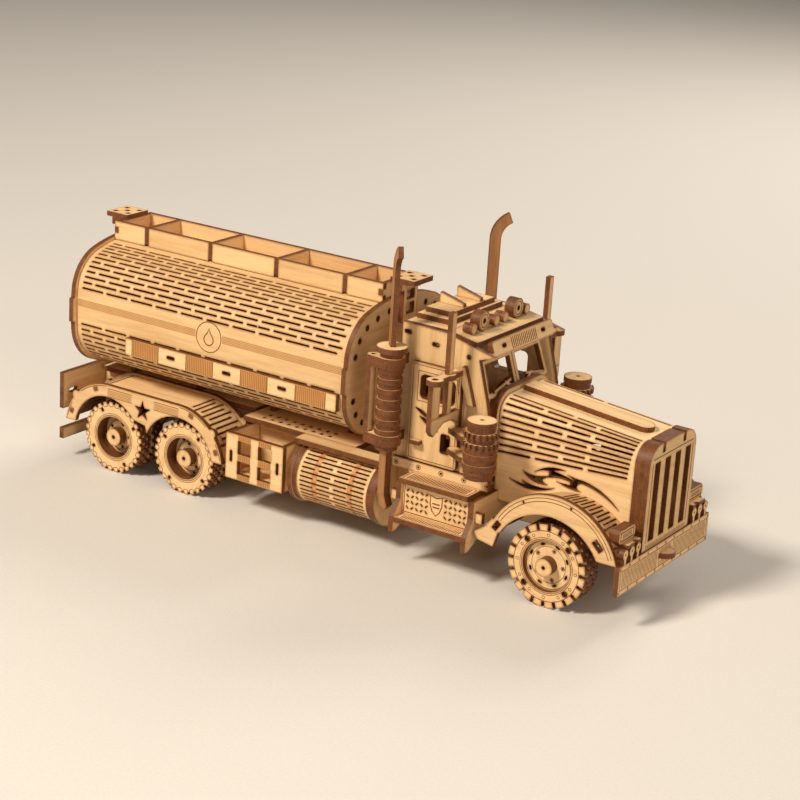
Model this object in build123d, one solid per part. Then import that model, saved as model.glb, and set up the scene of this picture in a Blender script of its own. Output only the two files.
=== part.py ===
from build123d import *
import os
from math import atan2, cos, hypot, pi, radians, sin, sqrt, tan

# Laser-cut plywood model of a conventional tanker truck, in millimetres.
# Every length along X is first measured from the front axle; the whole truck is shifted at the end so
# that its origin is the middle of its footprint.  +X is forward, +Y is the truck's left, +Z is up, and
# the wheels stand on z = 0.  Pieces are drawn for the right side (-Y) and mirrored to the left.

PLY = 2.0                     # thickness of every sheet
KERF = 0.7                    # width of a laser-cut slot

# wheels and axles
FRONT_AXLE = (0.0, 16.0)      # x, z
MIDDLE_AXLE = (-168.2, 15.0)
REAR_AXLE = (-205.4, 15.0)
FRONT_RADIUS = 16.0
REAR_RADIUS = 15.0
WHEEL_FACE = 33.8             # outer face of every tyre
DOWEL_RADIUS = 2.0
BORE_RADIUS = 2.05            # 0.05 mm running clearance on the dowel
COLLAR_PLAY = 0.3             # side play between the frame rail and the collar

# frame
RAIL_INNER = 8.0
RAIL_OUTER = RAIL_INNER + PLY
RAIL_BOTTOM = 20.0
DECK_BOTTOM = 34.2
DECK_TOP = DECK_BOTTOM + PLY
TAIL_X = -231.0
BUMPER_BACK = 28.4
BUMPER_BOTTOM = 13.4
BUMPER_TOP = 24.6
HALF_TRACK = 36.0             # half the width over fenders and bumper

# tank
TANK_MIDDLE = 65.5            # height of its centre line
TANK_FRONT = -92.0
TANK_REAR = -226.0
TANK_HALF_WIDTH = 34.0
TANK_HALF_HEIGHT = 26.3
DISC_MARGIN = 1.4
TANK_ROW_PITCH = 2.35         # between rows of slots, along the bent sheet

# cab
CAB_REAR = -72.5
CAB_SIDE = 26.0               # outer face of the cab's side walls
CAB_FLOOR = 35.0
CAB_ROOF = 91.4

# hood
HOOD_HALF_WIDTH = 18.0
HOOD_BOTTOM = 29.0
HOOD_REAR = -33.0
HOOD_FRONT = 23.8
HOOD_FRONT_TOP = 63.6
HOOD_SLOPE = 5.3              # degrees
HOOD_CORNER = 7.0
HOOD_ROWS = 10
HOOD_ROW_PITCH = (2.7, 1.81)  # distance from row to row of slots at the rear and at the front
HOOD_SLOT_SPANS = (((-31.6, -6.0), (-4.0, 22.4)), ((-31.6, -17.2), (-15.2, 4.6), (6.6, 22.4)))


# ---------------------------------------------------------------- helpers

def upright(outline, y, thick=PLY):
    """Sheet standing along the truck: outline in (x, z), filling y to y + thick."""
    plane = Plane(origin=(0, y + thick, 0), x_dir=(1, 0, 0), z_dir=(0, -1, 0))
    return extrude(plane * outline, thick, dir=(0, -1, 0))


def crosswise(outline, x, thick=PLY):
    """Sheet standing across the truck: outline in (y, z), filling x to x + thick."""
    plane = Plane(origin=(x, 0, 0), x_dir=(0, 1, 0), z_dir=(1, 0, 0))
    return extrude(plane * outline, thick, dir=(1, 0, 0))


def level(outline, z, thick=PLY):
    """Sheet lying flat: outline in (x, y), filling z to z + thick."""
    return extrude(Plane(origin=(0, 0, z)) * outline, thick, dir=(0, 0, 1))


def rect(u0, u1, v0, v1, corner=0.0):
    """Rectangle between two corners, with rounded corners where corner is given."""
    centre = Pos((u0 + u1) / 2, (v0 + v1) / 2)
    if corner:
        return centre * RectangleRounded(abs(u1 - u0), abs(v1 - v0), corner)
    return centre * Rectangle(abs(u1 - u0), abs(v1 - v0))


def polygon(*points):
    return Polygon(*points, align=None)


def round_at(u, v, radius):
    return Pos(u, v) * Circle(radius)


def slot_at(u, v, length, width, angle=0.0):
    """Round-ended slot."""
    return Pos(u, v) * Rot(0, 0, angle) * SlotOverall(length, width)


def arc_chain(*points):
    """Closed outline of arcs: corner, point on the arc, corner, point on the arc, and so on."""
    corners = points[0::2]
    vias = points[1::2]
    ends = corners[1:] + corners[:1]
    arcs = [ThreePointArc(a, via, b) for a, via, b in zip(corners, vias, ends)]
    return make_face(Curve() + arcs)


def solids_of(*pieces):
    """Flat list of the solids in pieces, lists of pieces and groups."""
    found = []
    for piece in pieces:
        if isinstance(piece, (list, tuple)):
            found += solids_of(*piece)
        else:
            found += list(piece.solids())
    return found


def both_sides(*pieces):
    """The right-hand pieces and their mirror images."""
    right = solids_of(*pieces)
    return right + [mirror(piece, Plane.XZ) for piece in right]


# ---------------------------------------------------------------- wheels

def toothed(radius, teeth, depth, gap, phase=0.0):
    """Disc with square-bottomed gaps cut into its rim."""
    disc = Circle(radius)
    notch = Pos(radius, 0) * Rectangle(2 * depth, gap)
    notches = [Rot(0, 0, (i + phase) * 360 / teeth) * notch for i in range(teeth)]
    return disc - notches


def ring_of_holes(count, at_radius, hole, start=0.0):
    return [Rot(0, 0, start + i * 360 / count) * Pos(at_radius, 0) * hole for i in range(count)]


def axle_pieces(place, tyre_plies, rim_plies):
    """Dowel, tyre plies and rim plies of one axle; a ply is (outline, outer face's distance from y = 0)."""
    to_axle = Pos(place[0], 0, place[1])

    def stack(plies):
        return [to_axle * piece for piece in both_sides([upright(shape, -face) for shape, face in plies])]

    half_length = WHEEL_FACE - 3 * PLY
    dowel = to_axle * Pos(0, half_length, 0) * Rot(90, 0, 0) * Cylinder(
        DOWEL_RADIUS, 2 * half_length, align=(Align.CENTER, Align.CENTER, Align.MIN))
    return solids_of(dowel), stack(tyre_plies), stack(rim_plies)


def collar():
    face = RAIL_OUTER + COLLAR_PLAY + PLY
    return Circle(4.0) - Circle(DOWEL_RADIUS), face


def front_axle():
    dish = 9.8
    shaft = Circle(DOWEL_RADIUS)
    teeth = 20
    tread = [toothed(FRONT_RADIUS, teeth, 2.3, 1.3, phase) for phase in (0, 0.5)]
    rivets = ring_of_holes(4, 12.0, Circle(1.25), 45)
    tyre_plies = [(tread[0] - Circle(dish) - rivets, WHEEL_FACE),
                  (tread[1] - Circle(dish), WHEEL_FACE - PLY)]
    tyre_plies += [(tread[i % 2] - shaft, WHEEL_FACE - i * PLY) for i in (2, 3, 4)]
    slots = ring_of_holes(8, 8.0, Rot(0, 0, 90) * SlotOverall(1.9, 0.9), 22.5)
    bolts = ring_of_holes(5, 5.9, Circle(0.45))
    rim_plies = [(Circle(dish) - slots - bolts, WHEEL_FACE - PLY)]
    rim_plies += [(Circle(3.5) - Circle(0.7), WHEEL_FACE + i * PLY) for i in (0, 1)]
    rim_plies.append(collar())
    return axle_pieces(FRONT_AXLE, tyre_plies, rim_plies)


def rear_axle(place, turn):
    """Dual tyres of seven plies; turn sets how the wheels have rolled to rest."""
    dish = 8.7
    shaft = Circle(DOWEL_RADIUS)
    teeth = 28
    tread = [toothed(REAR_RADIUS, teeth, 1.0, 1.3, phase) for phase in (0, 0.5)]
    rivets = ring_of_holes(4, 12.2, Rectangle(1.5, 1.3), 30 + turn)
    tyre_plies = [(tread[0] - Circle(dish) - rivets, WHEEL_FACE)]
    tyre_plies += [(tread[i % 2] - Circle(dish), WHEEL_FACE - i * PLY) for i in (1, 2)]
    tyre_plies += [(tread[i % 2] - shaft, WHEEL_FACE - i * PLY) for i in (4, 5, 6)]
    lightening = ring_of_holes(5, 7.4, Circle(0.6), 36 + turn)
    bolts = ring_of_holes(5, 5.1, Circle(0.65), turn)
    rim_plies = [(Circle(12.0) - shaft - lightening, WHEEL_FACE - 3 * PLY),
                 (Circle(6.4) - bolts, WHEEL_FACE - 2 * PLY)]
    rim_plies += [(Circle(3.7) - Circle(0.8), WHEEL_FACE - i * PLY) for i in (0, 1)]
    rim_plies.append(collar())
    return axle_pieces(place, tyre_plies, rim_plies)


# ---------------------------------------------------------------- frame

def chassis_rails():
    """Two side members with a bored lug over each axle."""
    shape = rect(TAIL_X, HOOD_FRONT, RAIL_BOTTOM, DECK_BOTTOM)
    shape += rect(HOOD_FRONT, BUMPER_BACK, RAIL_BOTTOM, BUMPER_TOP - 1)
    shape += polygon((TAIL_X, 8.7), (-227, 8.7), (-225, RAIL_BOTTOM + 1), (TAIL_X, RAIL_BOTTOM + 1))
    for x, z in (FRONT_AXLE, MIDDLE_AXLE, REAR_AXLE):
        shape += polygon((x - 9, RAIL_BOTTOM + 1), (x - 5, z), (x + 5, z), (x + 9, RAIL_BOTTOM + 1))
        shape += round_at(x, z, 5.0)
        shape -= round_at(x, z, BORE_RADIUS)
    for x in (-140, -120, -100, -60, -45):
        shape -= slot_at(x, 27, 10, 5)
    return both_sides(upright(shape, -RAIL_OUTER))


def cross_members():
    shape = rect(-RAIL_INNER, RAIL_INNER, 21, 33) - round_at(0, 27, 3)
    return solids_of([crosswise(shape, x) for x in (-226, -188, -150, -110, -76, -36, 12)])


def deck_plates():
    """Tail deck, tank deck with its two rows of holes, and the small decks over the drums."""
    tail = level(rect(-229, -148, -13.8, 13.8), DECK_BOTTOM)
    tank_deck = rect(-146.0, -92.0, -24, 24)
    for row in (-20.5, -16.5, 16.5, 20.5):
        tank_deck -= [round_at(-142 + 4 * i + (row % 4), row, 0.7) for i in range(9)]
    drum_deck = level(rect(-116.0, -75.0, -31.0, -24.0), DECK_BOTTOM)
    return solids_of(tail, level(tank_deck, DECK_BOTTOM)) + both_sides(drum_deck)


def bumper():
    shape = rect(-HALF_TRACK, HALF_TRACK, BUMPER_BOTTOM, BUMPER_TOP)
    edge = 1.1
    for z in (BUMPER_BOTTOM + edge, BUMPER_TOP - edge):
        shape -= [round_at(y, z, 0.35) for y in range(-35, 36, 7)]
    shape -= [rect(-5, 5, 18.4, 20.4)]
    return solids_of(crosswise(shape, BUMPER_BACK))


def tow_hook():
    """Half disc pushed through the bumper, with a shank behind."""
    shape = Pos(BUMPER_BACK + PLY, 0) * Circle(4.0)
    shape &= rect(BUMPER_BACK + PLY, BUMPER_BACK + 10, -5, 5)
    shape += rect(BUMPER_BACK - 6, BUMPER_BACK + PLY, -5, 5)
    return solids_of(level(shape, 18.4))


def signal_posts():
    """Three round-headed posts on each end of the bumper."""
    posts = []
    for y in (-22.5, -27.3, -32.2):
        head = round_at(y, BUMPER_TOP + 3.9, 1.9) - round_at(y, BUMPER_TOP + 3.9, 0.35)
        posts.append(crosswise(head + rect(y - 0.8, y + 0.8, BUMPER_TOP, BUMPER_TOP + 3), BUMPER_BACK))
    return both_sides(posts)


def tail_boards():
    """Tail board, and the guard bar below it."""
    board = rect(-HALF_TRACK, HALF_TRACK, 22.0, 37.5)
    board -= [slot_at(y, 29, 5, 2) for y in (-30, 30)]
    bar = rect(-HALF_TRACK, HALF_TRACK, 8.7, 13.4)
    return solids_of(crosswise(board, TAIL_X - PLY), crosswise(bar, TAIL_X - PLY))


# ---------------------------------------------------------------- tank

class Oval:
    """Oval of eight tangent arcs about (0, middle): wide flat top and sides, tight shoulders."""

    top_radius = 72.0
    side_radius = 95.0
    shoulder_radius = 17.0

    def __init__(self, half_width, half_height, middle):
        grow = half_width - TANK_HALF_WIDTH
        self.rt = self.top_radius + grow
        self.rs = self.side_radius + grow
        self.rc = self.shoulder_radius + grow
        self.middle = middle
        self.ct = half_height - self.rt               # height of the top arc's centre over the middle
        self.cs = half_width - self.rs                # where the side arc's centre is
        # the shoulder's centre is rt - rc from the top centre and rs - rc from the side centre
        a, b = self.rt - self.rc, self.rs - self.rc
        dx, dz = self.cs, -self.ct
        gap = hypot(dx, dz)
        along = (a * a - b * b + gap * gap) / (2 * gap)
        off = sqrt(a * a - along * along)
        ux, uz = dx / gap, dz / gap
        self.cc = (ux * along + uz * off, self.ct + uz * along - ux * off)
        self.top_turn = atan2(self.cc[0], self.cc[1] - self.ct)       # angles from straight up
        self.side_turn = atan2(self.cc[0] - self.cs, self.cc[1])
        self.lengths = (self.rt * self.top_turn,
                        self.rc * (self.side_turn - self.top_turn),
                        self.rs * (pi / 2 - self.side_turn))

    def quarter(self):
        return sum(self.lengths)

    def at(self, length):
        """Point and outward direction on the upper right quarter, length along from the top centre."""
        top, shoulder, _ = self.lengths
        if length <= top:
            turn = length / self.rt
            y, z = self.rt * sin(turn), self.ct + self.rt * cos(turn)
        elif length <= top + shoulder:
            turn = self.top_turn + (length - top) / self.rc
            y, z = self.cc[0] + self.rc * sin(turn), self.cc[1] + self.rc * cos(turn)
        else:
            turn = self.side_turn + (length - top - shoulder) / self.rs
            y, z = self.cs + self.rs * sin(turn), self.rs * cos(turn)
        return (y, z), (sin(turn), cos(turn))

    def face(self):
        """The oval as an outline in (y, z)."""
        quarter = self.quarter()
        top, shoulder, _ = self.lengths
        bend = top + shoulder
        stations = (0, top / 2, top, top + shoulder / 2, bend, (bend + quarter) / 2, quarter)
        points = [self.at(s)[0] for s in stations]
        arcs = []
        for sy, sz in ((1, 1), (1, -1), (-1, -1), (-1, 1)):
            for i in (0, 2, 4):
                trio = [(sy * y, self.middle + sz * z) for y, z in points[i:i + 3]]
                arcs.append(ThreePointArc(*trio))
        return make_face(Curve() + arcs)


SKIN_OVAL = Oval(TANK_HALF_WIDTH, TANK_HALF_HEIGHT, TANK_MIDDLE)
INNER_OVAL = Oval(TANK_HALF_WIDTH - PLY, TANK_HALF_HEIGHT - PLY, TANK_MIDDLE)
DISC_OVAL = Oval(TANK_HALF_WIDTH + DISC_MARGIN, TANK_HALF_HEIGHT + DISC_MARGIN, TANK_MIDDLE)


def slot_row(x0, x1, pitch, bridge, staggered):
    """Start and end of every slot in one row, with half slots at the ends of a staggered row."""
    start = x0 - (pitch / 2 if staggered else 0)
    row = []
    while start < x1 - bridge:
        low, high = max(start, x0), min(start + pitch - bridge, x1)
        if high - low > bridge:
            row.append((low, high))
        start += pitch
    return row


def tank_skin():
    """Two bent half shells, slotted over the shoulders so that the sheet can bend."""
    shell = crosswise(SKIN_OVAL.face() - INNER_OVAL.face(), TANK_REAR, TANK_FRONT - TANK_REAR)
    side_seam = rect(TANK_REAR, TANK_FRONT, -0.05, 0.05)
    cutters = [level(side_seam, TANK_MIDDLE - 40, 80)]
    # rows above and below the side's middle: sign of z, distance of the first row from the middle, rows
    bends = ((1, 9.6, 12), (-1, 5.6, 11))
    rows = [(up, SKIN_OVAL.quarter() - first - TANK_ROW_PITCH * i, i % 2 == 1)
            for up, first, count in bends for i in range(count)]
    for up, length, staggered in rows:
        (y, z), (ny, nz) = SKIN_OVAL.at(length)
        for low, high in slot_row(TANK_REAR + 2.5, TANK_FRONT - 2.5, 12.9, 1.9, staggered):
            for side in (-1, 1):
                where = Plane(origin=((low + high) / 2, side * y, TANK_MIDDLE + up * z),
                              x_dir=(1, 0, 0), z_dir=(0, side * ny, up * nz))
                cutters.append(where * Box(high - low, KERF, 3 * PLY))
    return solids_of(shell - cutters)


def tank_disc(x):
    """End disc with a ring of holes and a small ear on each side."""
    shape = DISC_OVAL.face()
    ear = DISC_OVAL.at(DISC_OVAL.quarter())[0][0]
    shape += rect(-ear - 0.9, ear + 0.9, TANK_MIDDLE - 5.0, TANK_MIDDLE + 5.0)
    quarter = DISC_OVAL.quarter()
    for sy, sz in ((1, 1), (1, -1), (-1, -1), (-1, 1)):
        for share in (0.18, 0.34, 0.5, 0.66, 0.82):
            (y, z), (ny, nz) = DISC_OVAL.at(share * quarter)
            shape -= round_at(sy * (y - 4.6 * ny), TANK_MIDDLE + sz * (z - 4.6 * nz), 1.2)
    return solids_of(crosswise(shape, x))


def tank_formers():
    """Discs that the skin is bent over, spine boards between them, and the saddles between deck and tank."""
    places = (-193.5, -160.0, -126.5)
    disc = INNER_OVAL.face() - round_at(0, TANK_MIDDLE, 12)
    saddle = rect(-12, 12, DECK_TOP, TANK_MIDDLE - 20) - SKIN_OVAL.face()
    bays = zip([TANK_REAR] + [x + PLY for x in places], list(places) + [TANK_FRONT])
    spine = [upright(rect(start, end, TANK_MIDDLE - 22, TANK_MIDDLE + 22), -PLY / 2) for start, end in bays]
    return solids_of([crosswise(disc, x) for x in places], spine,
                     [crosswise(saddle, x) for x in (-215, -180, -142, -104)])


def tank_side_panels():
    """Long tool-box fronts on the tank's flanks, with a slot in each pale field."""
    shape = rect(-198, -94, 52.8, 59.8)
    shape -= [slot_at(x, 56.4, 4.2, 1.5) for x in (-174.5, -146.5, -119.5)]
    return both_sides(upright(shape, -TANK_HALF_WIDTH - PLY))


WALK_HALF = 11.2
WALK_TOP = 98.9
WALK_X = (TANK_REAR - 0.6, TANK_FRONT + 0.8)
WALK_WALLS = (-208.8, -175.7, -142.7, -109.7)


def walk_base():
    """Height of the tank's top under the inner edge of a walkway rail."""
    inner = WALK_HALF - PLY
    return TANK_MIDDLE + SKIN_OVAL.ct + sqrt(SKIN_OVAL.rt ** 2 - inner ** 2)


def walkway_rails():
    """Side boards with a slot for every cross wall and a finger at both ends."""
    base = walk_base()
    shape = rect(TANK_REAR, TANK_FRONT, base, WALK_TOP)
    for x in WALK_WALLS:
        shape -= rect(x - PLY / 2, x + PLY / 2, base - 1, WALK_TOP + 1)
    shape -= rect(WALK_X[0], TANK_REAR + PLY, 94, 96.5)
    shape -= rect(TANK_FRONT - PLY, WALK_X[1], 94, 96.5)
    return both_sides(upright(shape, -WALK_HALF))


def walkway_walls():
    """Cross walls between the bays, showing through the side boards."""
    base = walk_base() + 0.8
    shape = rect(-WALK_HALF, WALK_HALF, base, WALK_TOP)
    inner = WALK_HALF - PLY
    end = rect(-inner, inner, base, WALK_TOP) + rect(-WALK_HALF, WALK_HALF, 94, 96.5)
    walls = [crosswise(shape, x - PLY / 2) for x in WALK_WALLS]
    return solids_of(walls, crosswise(end, TANK_REAR), crosswise(end, TANK_FRONT - PLY))


CAP_LENGTH = 11.0
CAP_HALF = 6.6


def walkway_landings():
    """Perforated landings over both ends of the walkway, with the short ladders that hang from them."""
    caps = []
    for x in (TANK_REAR - 8.4, TANK_FRONT - 0.1):
        shape = rect(x, x + CAP_LENGTH, -CAP_HALF, CAP_HALF)
        for i in (0.2, 0.5, 0.8):
            for j in (-0.55, 0.0, 0.55):
                if (i == 0.5) == (j == 0.0):
                    shape -= rect(x + i * CAP_LENGTH - 0.9, x + i * CAP_LENGTH + 0.9,
                                  j * CAP_HALF - 0.9, j * CAP_HALF + 0.9)
        caps.append(level(shape, WALK_TOP))
    shape = rect(-4.8, 4.8, 83.0, WALK_TOP)
    for z in (86.2, 92.0):
        shape -= rect(-2.6, 2.6, z, z + 4.4)
    arm = rect(-CAP_HALF, CAP_HALF, WALK_TOP - 3, WALK_TOP)
    front = TANK_FRONT + PLY + 1.5
    rear = TANK_REAR - PLY - 1.5 - PLY
    return solids_of(caps, [crosswise(shape + arm, x) for x in (front, rear)])


# ---------------------------------------------------------------- cab

DOOR = (-66.3, -44.5, 39.6, 78.0)
WINDOW = (-62.0, -46.6, 64.3, 73.8)
VENT = (-51.8, -47.6, 45.0, 52.8)
SCREEN_FOOT = (-36.2, 67.8)
SCREEN_HEAD = (-40.7, 81.5)
SCREEN_HALF = 22.2
WIPER_PLY = 1.0               # wipers are thinner than the sheets


def cab_sides():
    shape = polygon((CAB_REAR, 38), (CAB_REAR, CAB_ROOF), (-53.5, 90.9), (-32.4, 85.7), (-38.8, 83.6),
                    (-34.6, 69.0), (-33.4, 64), (-33.4, 38))
    shape -= [rect(*WINDOW, 2.0), rect(*VENT, 1.0)]
    shape -= [round_at(-43.2, 83.8, 1.0), slot_at(-70.0, 87.9, 3.4, 1.7), slot_at(-57.7, 85.4, 3.4, 1.7)]
    return both_sides(upright(shape, -CAB_SIDE))


def claw(x, z, length, height):
    """Small thorn-shaped cut-out with its points at both ends."""
    return arc_chain((x, z), (x + 0.5 * length, z - 0.22 * height), (x + length, z - height),
                     (x + 0.42 * length, z - 0.62 * height))


def cab_doors():
    """Door panels with window, vent and claw cut-outs, and their handles."""
    shape = rect(*DOOR, 1.6) - rect(*WINDOW, 2.0) - rect(*VENT, 1.0)
    shape -= [claw(-63.6, 60.4, 7.4, 3.6), claw(-61.6, 57.4, 8.6, 4.6)]
    handle = level(rect(-64.0, -59.6, -CAB_SIDE - PLY - 2.6, -CAB_SIDE - PLY), 46.6, 1.6)
    return both_sides(upright(shape, -CAB_SIDE - PLY), handle)


def cab_trim():
    """Riveted strips under the doors, and doubling strips in front of them that lean like the windshield."""
    skirt = rect(CAB_REAR, -30.0, CAB_FLOOR, 39.0)
    skirt -= [round_at(-70.6 + 10.05 * i, 37.1, 0.45) for i in range(5)]
    lean = (SCREEN_HEAD[0] - SCREEN_FOOT[0]) / (SCREEN_HEAD[1] - SCREEN_FOOT[1])
    foot, head = 66.0, 80.5
    edge = -38.6
    door_edge = DOOR[1] + 0.1
    shape = polygon((edge, foot), (edge + lean * (head - foot), head), (door_edge, head),
                    (door_edge, foot + 8), (edge - 3.0, foot))
    return both_sides(upright(skirt, -CAB_SIDE - PLY), upright(shape, -CAB_SIDE - PLY))


def cab_rear():
    shape = rect(-CAB_SIDE + PLY, CAB_SIDE - PLY, CAB_FLOOR, CAB_ROOF - PLY)
    shape -= rect(-11, 11, 66, 78, 2.0)
    return solids_of(crosswise(shape, CAB_REAR))


def cab_floor():
    shape = rect(CAB_REAR + PLY, -39.4, -CAB_SIDE + PLY, CAB_SIDE - PLY)
    return solids_of(level(shape, CAB_FLOOR))


def cab_front():
    """Front wall of the cab below the windshield, its instrument shelf and the arched plates of the cowl."""
    wall = crosswise(rect(-CAB_SIDE + PLY, CAB_SIDE - PLY, CAB_FLOOR, 67.0), -39.4)
    shelf = level(rect(-46.0, -39.4, -CAB_SIDE + PLY, CAB_SIDE - PLY), 62.0)
    half, top = 19.6, 70.6
    arch = rect(-half, half, 50, top, 8.5) + rect(-half, half, 38, 60)
    beside_screen = rect(-half, half, 0, 6)
    seat = [tilted_sheet(beside_screen, SCREEN_FOOT, SCREEN_HEAD, thick) for thick in (PLY, -WIPER_PLY)]
    plates = [crosswise(arch, -37.4 + PLY * i) - seat for i in (0, 1)]
    return solids_of(wall, shelf, plates)


def cab_roof():
    """Flat rear roof and the sloping part over the windshield."""
    inner = CAB_SIDE - PLY
    crease = -53.5
    flat = upright(rect(CAB_REAR, crease, CAB_ROOF - PLY, CAB_ROOF), -inner, 2 * inner)
    slope = upright(polygon((crease, CAB_ROOF - PLY), (crease, CAB_ROOF), (-41.2, 89.2), (-41.2, 87.2)),
                    -inner, 2 * inner)
    return solids_of(flat, slope)


def roof_boards():
    """Raised boards on the flat roof, and two wedges along its middle."""
    low = level(rect(-71.5, -56.5, -18.5, 18.5) - rect(-68.5, -59.5, -13, 13), CAB_ROOF)
    high = level(rect(-70.0, -58.0, -15, 15), CAB_ROOF + PLY)
    top = CAB_ROOF + 2 * PLY
    wedge = polygon((-69.0, top), (-69.0, top + 4.2), (-58.5, top + 1.4), (-58.5, top))
    return solids_of(low, high) + both_sides(upright(wedge, -7.0))


LAMP_X = -49.8
LAMP_Y = 12.3
LAMP_Z = 94.2


def roof_slope_top(x):
    """Height of the sloping roof's top face."""
    return CAB_ROOF - 2.2 * (x + 53.5) / 12.3


def roof_lamps():
    """Two big round lamps of two plies, with small marker lamps between and beside them."""
    below = polygon((-60, 80), (-60, CAB_ROOF + 0.1), (-53.5, CAB_ROOF), (-41.2, 89.2), (-41.2, 80))
    under_roof = upright(below, -30, 60)
    disc = round_at(-LAMP_Y, LAMP_Z, 3.8)
    big = [crosswise(disc - round_at(-LAMP_Y, LAMP_Z, 1.0), LAMP_X + PLY), crosswise(disc, LAMP_X)]
    centre = roof_slope_top(LAMP_X) + 1.7
    small = [crosswise(round_at(y, centre, 2.0), LAMP_X, 2 * PLY) for y in (-19.2, -3.2)]
    return both_sides([lamp - under_roof for lamp in big + small])


def tilted_sheet(outline, foot, head, thick=PLY):
    """Sheet across the truck that leans from foot to head, both (x, z); its thickness lies behind them."""
    lean = Vector(head[0] - foot[0], 0, head[1] - foot[1]).normalized()
    normal = Vector(0, 1, 0).cross(lean)
    plane = Plane(origin=(foot[0], 0, foot[1]), x_dir=(0, 1, 0), z_dir=(normal.X, normal.Y, normal.Z))
    return extrude(plane * outline, thick, dir=-normal)


def windshields():
    """Two open frames that meet in the middle, each with a wiper on its lower edge."""
    height = hypot(SCREEN_HEAD[0] - SCREEN_FOOT[0], SCREEN_HEAD[1] - SCREEN_FOOT[1])
    side, top = -SCREEN_HALF, height - 1.6
    pane = polygon((side, 0), (-0.1, 0), (-0.1, height), (side + 1, height))
    hole = polygon((side + 2.0, 2.0), (-1.9, 2.0), (-1.9, top), (side + 2.8, top))
    arm = Pos(-11.6, 3.2) * Rot(0, 0, 10) * Rectangle(13.0, 1.0)
    arm += Pos(-7.0, 2.6) * Rot(0, 0, -28) * Rectangle(6.5, 1.2)
    wiper = tilted_sheet(arm, SCREEN_FOOT, SCREEN_HEAD, -WIPER_PLY)
    return both_sides(tilted_sheet(pane - hole, SCREEN_FOOT, SCREEN_HEAD), wiper)


def sun_visor():
    """Board over the windshield with two slots, and end tabs that reach the cab's side walls."""
    height = 6.0
    half = 22.0
    wall = CAB_SIDE - PLY
    shape = rect(-half, half, 0, height, 1.4) + rect(-wall, wall, 0.4, 2.0)
    shape -= [slot_at(side * 14.2, height / 2 + 0.2, 3.0, 1.5) for side in (-1, 1)]
    return solids_of(tilted_sheet(shape, (-34.4, 84.5), (-36.6, 90.1)))


def cab_fittings():
    """Two seats, each a box and a backrest, and the steering wheel."""
    base = level(rect(-66.0, -54.0, -18.0, -6.0), CAB_FLOOR + PLY, 10.0)
    back = crosswise(rect(-18.0, -6.0, CAB_FLOOR + PLY + 10, 72, 2.0), -66.0)
    plane = Plane(origin=(-47.5, 12.0, 64.0), x_dir=(0, 1, 0), z_dir=(-0.8, 0, 0.6))
    ring = extrude(plane * (Circle(5.0) - Circle(3.6)), 1.2)
    ring += extrude(plane * Rectangle(8.0, 1.4), 1.2)
    return both_sides(base, back) + solids_of(ring)


# ---------------------------------------------------------------- hood and grille

def hood_top(x):
    return HOOD_FRONT_TOP + (HOOD_FRONT - x) * tan(radians(HOOD_SLOPE))


def hood_section(inset=0.0):
    """Hood outline in (y, height below the top), open at the bottom end far down."""
    half = HOOD_HALF_WIDTH - inset
    return rect(-half, half, -60, -inset, HOOD_CORNER - inset)


def flame():
    """Tribal flames for the hood's flank, in (x, z): a low claw and a branching main one."""
    low = arc_chain((-27.0, 38.9), (-19.1, 36.7), (-7.5, 39.8), (-15.4, 38.5), (-21.7, 39.5), (-20.9, 38.9),
                    (-20.2, 38.1), (-23.5, 38.3))
    main = arc_chain((-21.6, 43.3), (-18.6, 40.9), (-10.5, 40.2), (-12.2, 40.75), (-13.0, 41.6), (-11.8, 42.6),
                     (-9.5, 43.3), (-5.0, 44.0), (-2.2, 43.7), (-1.5, 43.1), (-2.7, 42.6), (-5.2, 42.4),
                     (-7.4, 42.7), (-3.0, 41.3), (3.2, 41.0), (1.6, 41.8), (1.3, 42.9), (2.4, 43.9),
                     (4.6, 44.0), (12.7, 41.6), (19.1, 37.8), (9.9, 44.0), (0.7, 45.6), (-1.2, 45.9),
                     (-3.1, 46.1), (-1.6, 45.6), (-0.2, 44.6), (-3.9, 45.5), (-8.5, 46.2), (-6.1, 46.9),
                     (-3.6, 47.4), (-10.3, 47.2), (-16.7, 43.6), (-13.1, 45.3), (-10.7, 45.5), (-10.4, 44.6),
                     (-12.0, 43.5), (-17.0, 42.5))
    return low, main


def hood_slots(middle):
    """Cutters for the rows of slots, which fan out to the rear; in the level frame of an unsloped hood."""
    half, corner = HOOD_HALF_WIDTH, HOOD_CORNER
    bend = corner * pi / 2
    cutters = []
    for row in range(HOOD_ROWS):
        rear, front = 0.6 + HOOD_ROW_PITCH[0] * row, 0.4 + HOOD_ROW_PITCH[1] * row
        fan = atan2(front - rear, HOOD_FRONT - HOOD_REAR)
        for start, end in HOOD_SLOT_SPANS[row % 2]:
            x = (start + end) / 2 - middle
            along = (rear + front) / 2 + x * tan(fan)
            if along <= bend:
                turn = along / corner
                y, z = half - corner + corner * sin(turn), corner * cos(turn) - corner
            else:
                turn = pi / 2
                y, z = half, -corner - (along - bend)
            for side in (-1, 1):
                run = (cos(fan), side * sin(fan) * cos(turn), -sin(fan) * sin(turn))
                where = Plane(origin=(x, side * y, z), x_dir=run, z_dir=(0, side * sin(turn), cos(turn)))
                cutters.append(where * Box(end - start, KERF + 0.1, 3 * PLY))
    return cutters


def hood_skin():
    """Bent hood sheet: slotted shoulders, flame cut-outs, level lower edge and upright ends."""
    length = HOOD_FRONT - HOOD_REAR + 20
    middle = (HOOD_FRONT + HOOD_REAR) / 2
    section = hood_section() - hood_section(PLY)
    shell = crosswise(section, -length / 2, length) - hood_slots(middle)
    shell = Pos(middle, 0, hood_top(middle)) * Rot(0, HOOD_SLOPE, 0) * shell
    keep = upright(rect(HOOD_REAR, HOOD_FRONT, HOOD_BOTTOM, 90), -30, 60)
    flames = [upright(shape, -30, 60) for shape in flame()]
    return solids_of((shell & keep) - flames)


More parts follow.
